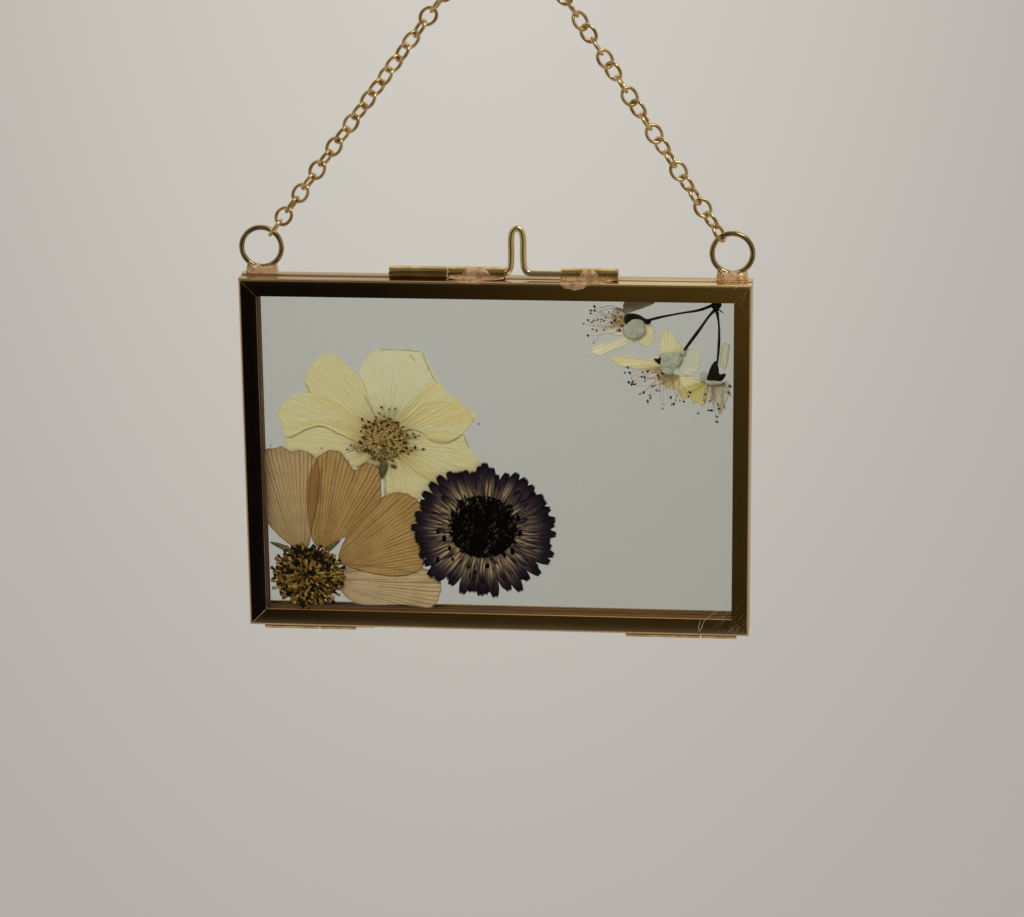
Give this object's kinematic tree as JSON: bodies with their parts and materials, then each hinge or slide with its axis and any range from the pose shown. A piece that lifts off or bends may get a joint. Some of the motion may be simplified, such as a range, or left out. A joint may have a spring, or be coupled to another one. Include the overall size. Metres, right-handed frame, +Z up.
{
  "type": "pressed flower frame",
  "caption": "Small hinged double-glass brass frame that hangs on a chain, holding pressed flowers between its panes.",
  "frame": {"origin": "the hang point: the inside top of the chain's top link, which a hook, nail or finger holds", "axes": "+X to the viewer's right along the frame, +Y from the front through the glass to the back, +Z up"},
  "size_m": [0.1065, 0.0072, 0.1559],
  "materials": {
    "frame_brass": "polished brass channel, brushed at the mitres",
    "fitting_brass": "polished brass tube and ring with coppery solder",
    "latch_wire": "polished drawn wire",
    "chain_gold": "bright gold-plated wire",
    "pane_glass": "clear flat glass, faint grey-green",
    "cream_petal": "pressed petal, dry, thin and partly see-through",
    "cream_stamen": "dry stamens and anthers",
    "cosmos_petal": "pressed veined petal, faded pink turned tan",
    "cosmos_floret": "dry disc florets, mustard and dark brown",
    "dark_floret": "dry purple-black florets with tan streaks",
    "blossom_petal": "small pressed petals, thin and partly see-through",
    "blossom_stamen": "fine dry filaments with dark anthers",
    "sprig_stem": "dry dark stalk and calyx"
  },
  "bodies": {
    "back_half": {"back_rail_top": "frame_brass", "back_stile_left": "frame_brass", "back_rail_bottom": "frame_brass", "back_stile_right": "frame_brass", "back_pane": "pane_glass", "hanging_ring_left": "fitting_brass", "hanging_ring_right": "fitting_brass", "latch_tube_back": "fitting_brass", "hinge_left_knuckle_back": "fitting_brass", "hinge_left_pin": "fitting_brass", "hinge_right_knuckle_back": "fitting_brass", "hinge_right_pin": "fitting_brass", "chain_left": "chain_gold", "chain_right": "chain_gold", "chain_top_link": "chain_gold", "cream_petal_top": "cream_petal", "cream_petal_upper_left": "cream_petal", "cream_petal_left": "cream_petal", "cream_petal_lower_left": "cream_petal", "cream_petal_bottom": "cream_petal", "cream_petal_lower_right": "cream_petal", "cream_petal_right": "cream_petal", "cream_petal_upper_right": "cream_petal", "cream_stamens": "cream_stamen", "cosmos_petal_left": "cosmos_petal", "cosmos_petal_upper": "cosmos_petal", "cosmos_petal_right": "cosmos_petal", "cosmos_petal_lower": "cosmos_petal", "cosmos_disc": "cosmos_floret", "dark_daisy_outer_florets": "dark_floret", "dark_daisy_inner_florets": "dark_floret", "dark_daisy_head": "dark_floret", "sprig_stem_1": "sprig_stem", "sprig_stem_2": "sprig_stem", "sprig_stem_3": "sprig_stem", "sprig_blossom_1_calyx": "sprig_stem", "sprig_blossom_1_stamens": "blossom_stamen", "sprig_blossom_1_petal_side": "blossom_petal", "sprig_blossom_1_petal_long": "blossom_petal", "sprig_blossom_2_calyx": "sprig_stem", "sprig_blossom_2_stamens": "blossom_stamen", "sprig_blossom_2_petal_top": "blossom_petal", "sprig_blossom_2_petal_left": "blossom_petal", "sprig_blossom_2_petal_right": "blossom_petal", "sprig_blossom_2_petal_lower": "blossom_petal", "sprig_blossom_3_calyx": "sprig_stem", "sprig_blossom_3_stamens": "blossom_stamen", "sprig_blossom_3_petal_upper": "blossom_petal", "sprig_blossom_3_petal_right": "blossom_petal", "sprig_blossom_3_petal_left": "blossom_petal"},
    "front_half": {"front_rail_top": "frame_brass", "front_stile_left": "frame_brass", "front_rail_bottom": "frame_brass", "front_stile_right": "frame_brass", "front_pane": "pane_glass", "latch_tube_front_left": "fitting_brass", "latch_tube_front_right": "fitting_brass", "hinge_left_knuckle_front": "fitting_brass", "hinge_right_knuckle_front": "fitting_brass"},
    "latch_pin": {"latch_pin": "latch_wire"}
  },
  "joints": [
    {"name": "front_hinge", "type": "hinge", "parent": "back_half", "child": "front_half", "pos_m": [-0.00305, -0.00185, -0.15435], "axis": [1, 0, 0], "range_deg": [0, 175]},
    {"name": "latch_slide", "type": "slide", "parent": "front_half", "child": "latch_pin", "axis": [1, 0, 0], "range_m": [0, 0.0045]}
  ]
}
